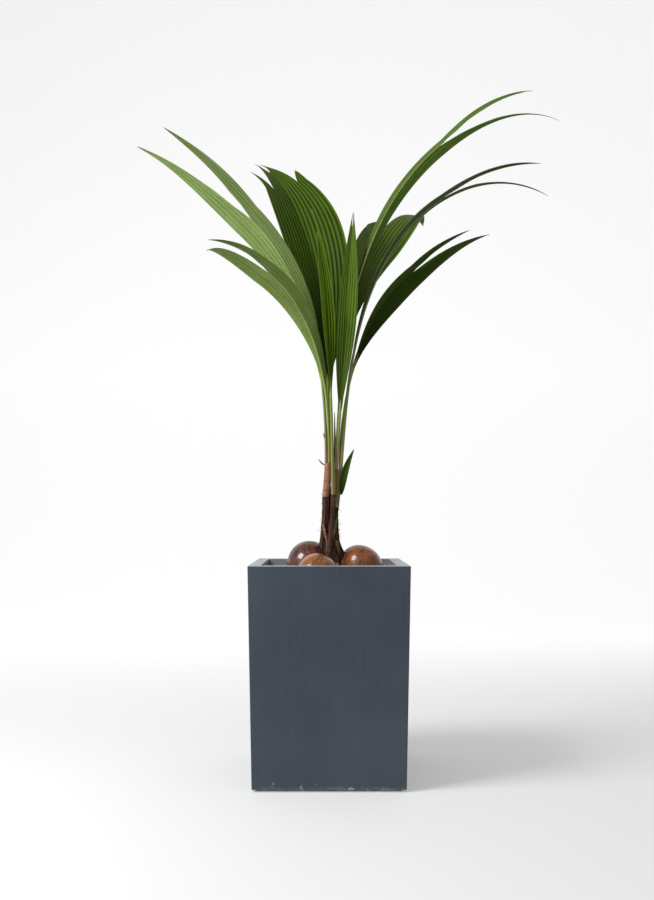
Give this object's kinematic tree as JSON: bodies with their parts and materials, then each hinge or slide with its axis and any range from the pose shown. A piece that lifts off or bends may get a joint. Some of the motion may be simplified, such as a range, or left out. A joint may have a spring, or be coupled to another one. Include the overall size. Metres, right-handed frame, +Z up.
{
  "type": "potted coconut palm",
  "caption": "Young coconut palm clump: sprouted nuts in a tall square grey planter, with long upright undivided fronds.",
  "frame": {"origin": "centre of the planter's flat underside, on the floor", "axes": "+Z up along the planter, +X to the right and -Y out of the front face"},
  "size_m": [0.9107, 0.9283, 1.5636],
  "materials": {
    "pot_grey": "matt slate-grey fibre-cement",
    "soil_brown": "loose dark potting soil",
    "nut_plum": "glossy dark plum-brown nut",
    "nut_tan": "glossy tan nut",
    "nut_orange": "glossy orange-brown nut",
    "stem_brown": "dark brown fibrous shoot",
    "sheath_pink": "papery pink-brown sheath",
    "sheath_green": "green and tan leaf stalks in a sheath",
    "blade_light": "light green leaf",
    "blade_mid": "mid-green leaf",
    "blade_dark": "dark green satin leaf"
  },
  "bodies": {
    "root": {"pot": "pot_grey", "soil": "soil_brown", "coconut_left": "nut_plum", "coconut_front": "nut_tan", "coconut_right": "nut_orange", "stem_left": "stem_brown", "sheath_left": "sheath_pink", "stem_right": "stem_brown", "sheath_right": "sheath_green", "stem_front": "stem_brown", "scale_leaf": "blade_mid", "frond_left_high": "blade_light", "frond_left_low": "blade_light", "frond_back_left": "blade_dark", "frond_back_right": "blade_dark", "frond_right_high": "blade_mid", "frond_right_mid": "blade_dark", "frond_right_low": "blade_dark", "frond_spear": "blade_mid", "frond_front_young": "blade_light"}
  },
  "joints": []
}
